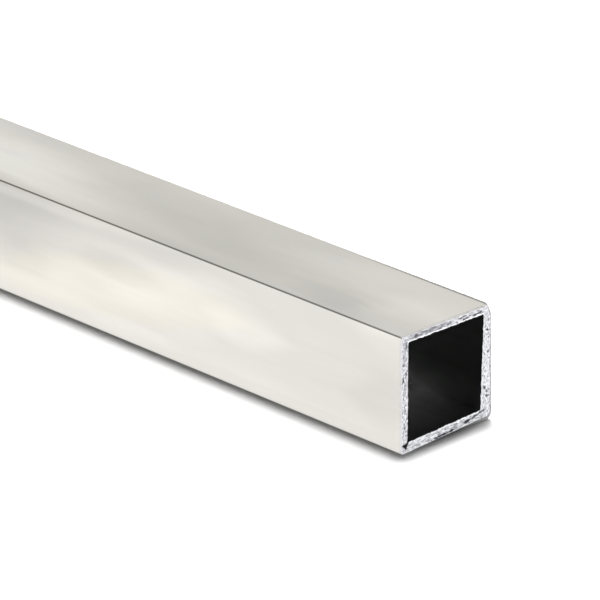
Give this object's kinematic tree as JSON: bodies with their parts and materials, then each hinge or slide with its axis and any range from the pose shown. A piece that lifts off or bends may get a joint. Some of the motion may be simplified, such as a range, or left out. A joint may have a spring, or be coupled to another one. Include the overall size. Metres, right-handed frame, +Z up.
{
  "type": "square metal tube",
  "caption": "Square hollow metal bar stock with sharp corners and a smooth outside, sawn off square and left raw at both ends.",
  "frame": {"origin": "middle of the underside: halfway along the bar and halfway across it, on the surface that it lies on", "axes": "+X along the bar towards the sawn end that the picture shows, +Z up out of the top side, -Y out of the front side"},
  "size_m": [1, 0.025, 0.025],
  "materials": {
    "aluminium": "smooth satin mill finish outside, raw saw cuts at the ends, dull dark bore"
  },
  "bodies": {
    "root": {"square_tube": "aluminium"}
  },
  "joints": []
}
